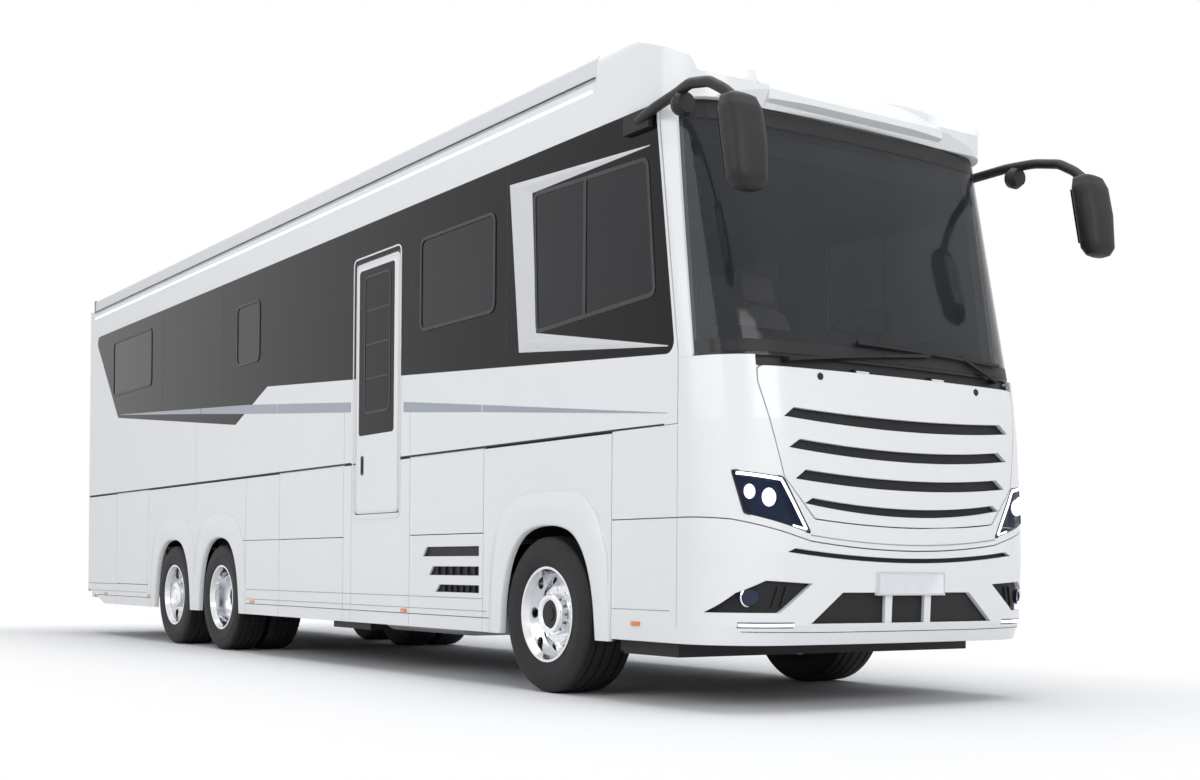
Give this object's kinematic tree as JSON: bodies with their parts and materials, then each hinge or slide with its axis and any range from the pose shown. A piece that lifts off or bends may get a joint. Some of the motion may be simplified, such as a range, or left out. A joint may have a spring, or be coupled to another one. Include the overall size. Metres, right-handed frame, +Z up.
{
  "type": "motorhome",
  "caption": "Long integrated motorhome on a three-axle truck chassis, with steered front wheels, an entry door, locker flaps and a front service flap that open.",
  "frame": {"origin": "on the ground under the middle of the vehicle's overall box, mirrors included", "axes": "+Y towards the rear, so the vehicle faces -Y; +X to the vehicle's left; +Z up"},
  "size_m": [3.006, 12.225, 3.932],
  "materials": {
    "white_paint": "gloss",
    "black_gloss": "gloss",
    "black_plastic": "matte",
    "mesh_black": "matte",
    "silver_trim": "satin",
    "tyre_rubber": "matte",
    "polished_rim": "polished",
    "chassis_black": "satin",
    "cast_dark": "rough",
    "tank_metal": "brushed",
    "window_glass": "clear tinted",
    "lamp_glass": "clear",
    "marker_lens": "gloss",
    "floor_board": "matte",
    "cream_leather": "soft",
    "dash_plastic": "matte",
    "lining": "matte"
  },
  "bodies": {
    "coach": {"awning": "white_paint", "band": "black_gloss", "bumper": "white_paint", "bumper_mesh": "mesh_black", "cab_bed": "lining", "chassis_frame": "chassis_black", "cowl": "black_plastic", "dashboard": "dash_plastic", "engine_block": "chassis_black", "floor": "floor_board", "front_axle": "cast_dark", "front_carrier": "chassis_black", "front_lamps": "lamp_glass", "front_mask": "white_paint", "front_springs": "cast_dark", "front_tray": "black_plastic", "fuel_tank": "tank_metal", "headlamps": "lamp_glass", "mirrors": "white_paint", "pillars": "silver_trim", "rear_axles": "cast_dark", "rear_bumper": "white_paint", "roof": "white_paint", "roof_cap": "white_paint", "seat_frames": "dash_plastic", "seat_pads": "cream_leather", "side_and_tail_lamps": "marker_lens", "side_glass": "window_glass", "skirt_left": "white_paint", "skirt_right": "white_paint", "under_gear": "black_plastic", "wall_left": "white_paint", "wall_rear": "white_paint", "wall_right": "white_paint", "window_frames": "silver_trim", "windscreen": "window_glass"},
    "knuckle_left": {"knuckle_left": "cast_dark"},
    "wheel_front_left": {"tyre_front_left": "tyre_rubber", "rim_front_left": "polished_rim"},
    "wheel_drive_left": {"tyre_drive_left": "tyre_rubber", "rim_drive_left": "polished_rim"},
    "wheel_tag_left": {"tyre_tag_left": "tyre_rubber", "rim_tag_left": "polished_rim"},
    "flap_front_left": {"flap_front_left": "white_paint"},
    "flap_middle_left": {"flap_middle_left": "white_paint"},
    "flap_rear_left": {"flap_rear_left": "white_paint"},
    "knuckle_right": {"knuckle_right": "cast_dark"},
    "wheel_front_right": {"tyre_front_right": "tyre_rubber", "rim_front_right": "polished_rim"},
    "wheel_drive_right": {"tyre_drive_right": "tyre_rubber", "rim_drive_right": "polished_rim"},
    "wheel_tag_right": {"tyre_tag_right": "tyre_rubber", "rim_tag_right": "polished_rim"},
    "flap_front_right": {"flap_front_right": "white_paint"},
    "flap_middle_right": {"flap_middle_right": "white_paint"},
    "flap_rear_right": {"flap_rear_right": "white_paint"},
    "entry_door": {"entry_door": "white_paint", "door_glass": "window_glass"},
    "bonnet": {"bonnet": "white_paint", "bonnet_mesh": "mesh_black"}
  },
  "joints": [
    {"name": "steer_left", "type": "hinge", "parent": "coach", "child": "knuckle_left", "pos_m": [0.8, -3.9125, 0.492], "axis": [0, 0, 1], "range_deg": [-40, 40]},
    {"name": "steer_right", "type": "hinge", "parent": "coach", "child": "knuckle_right", "pos_m": [-0.8, -3.9125, 0.492], "axis": [0, 0, 1], "range_deg": [-40, 40]},
    {"name": "spin_front_left", "type": "hinge", "parent": "knuckle_left", "child": "wheel_front_left", "pos_m": [1.1, -3.9125, 0.492], "axis": [1, 0, 0], "continuous": true},
    {"name": "spin_drive_left", "type": "hinge", "parent": "coach", "child": "wheel_drive_left", "pos_m": [1, 1.7975, 0.492], "axis": [1, 0, 0], "continuous": true},
    {"name": "spin_tag_left", "type": "hinge", "parent": "coach", "child": "wheel_tag_left", "pos_m": [1.1, 3.1175, 0.492], "axis": [1, 0, 0], "continuous": true},
    {"name": "spin_front_right", "type": "hinge", "parent": "knuckle_right", "child": "wheel_front_right", "pos_m": [-1.1, -3.9125, 0.492], "axis": [1, 0, 0], "continuous": true},
    {"name": "spin_drive_right", "type": "hinge", "parent": "coach", "child": "wheel_drive_right", "pos_m": [-1, 1.7975, 0.492], "axis": [1, 0, 0], "continuous": true},
    {"name": "spin_tag_right", "type": "hinge", "parent": "coach", "child": "wheel_tag_right", "pos_m": [-1.1, 3.1175, 0.492], "axis": [1, 0, 0], "continuous": true},
    {"name": "entry_door_swing", "type": "hinge", "parent": "coach", "child": "entry_door", "pos_m": [-1.246, -1.9015, 1.6], "axis": [0, 0, 1], "range_deg": [0, 90]},
    {"name": "flap_front_left_swing", "type": "hinge", "parent": "coach", "child": "flap_front_left", "pos_m": [1.246, -2.621, 1.576], "axis": [0, -1, 0], "range_deg": [0, 85]},
    {"name": "flap_middle_left_swing", "type": "hinge", "parent": "coach", "child": "flap_middle_left", "pos_m": [1.246, -0.3, 1.576], "axis": [0, -1, 0], "range_deg": [0, 85]},
    {"name": "flap_rear_left_swing", "type": "hinge", "parent": "coach", "child": "flap_rear_left", "pos_m": [1.246, 4.436, 1.576], "axis": [0, -1, 0], "range_deg": [0, 85]},
    {"name": "flap_front_right_swing", "type": "hinge", "parent": "coach", "child": "flap_front_right", "pos_m": [-1.246, -2.621, 1.576], "axis": [0, 1, 0], "range_deg": [0, 85]},
    {"name": "flap_middle_right_swing", "type": "hinge", "parent": "coach", "child": "flap_middle_right", "pos_m": [-1.246, -0.3, 1.576], "axis": [0, 1, 0], "range_deg": [0, 85]},
    {"name": "flap_rear_right_swing", "type": "hinge", "parent": "coach", "child": "flap_rear_right", "pos_m": [-1.246, 4.436, 1.576], "axis": [0, 1, 0], "range_deg": [0, 85]},
    {"name": "bonnet_swing", "type": "hinge", "parent": "coach", "child": "bonnet", "pos_m": [0, -5.7525, 1.893], "axis": [-1, 0, 0], "range_deg": [0, 75]}
  ],
  "couplings": [
    {"joint": "steer_right", "follows": "steer_left", "ratio": 1}
  ]
}
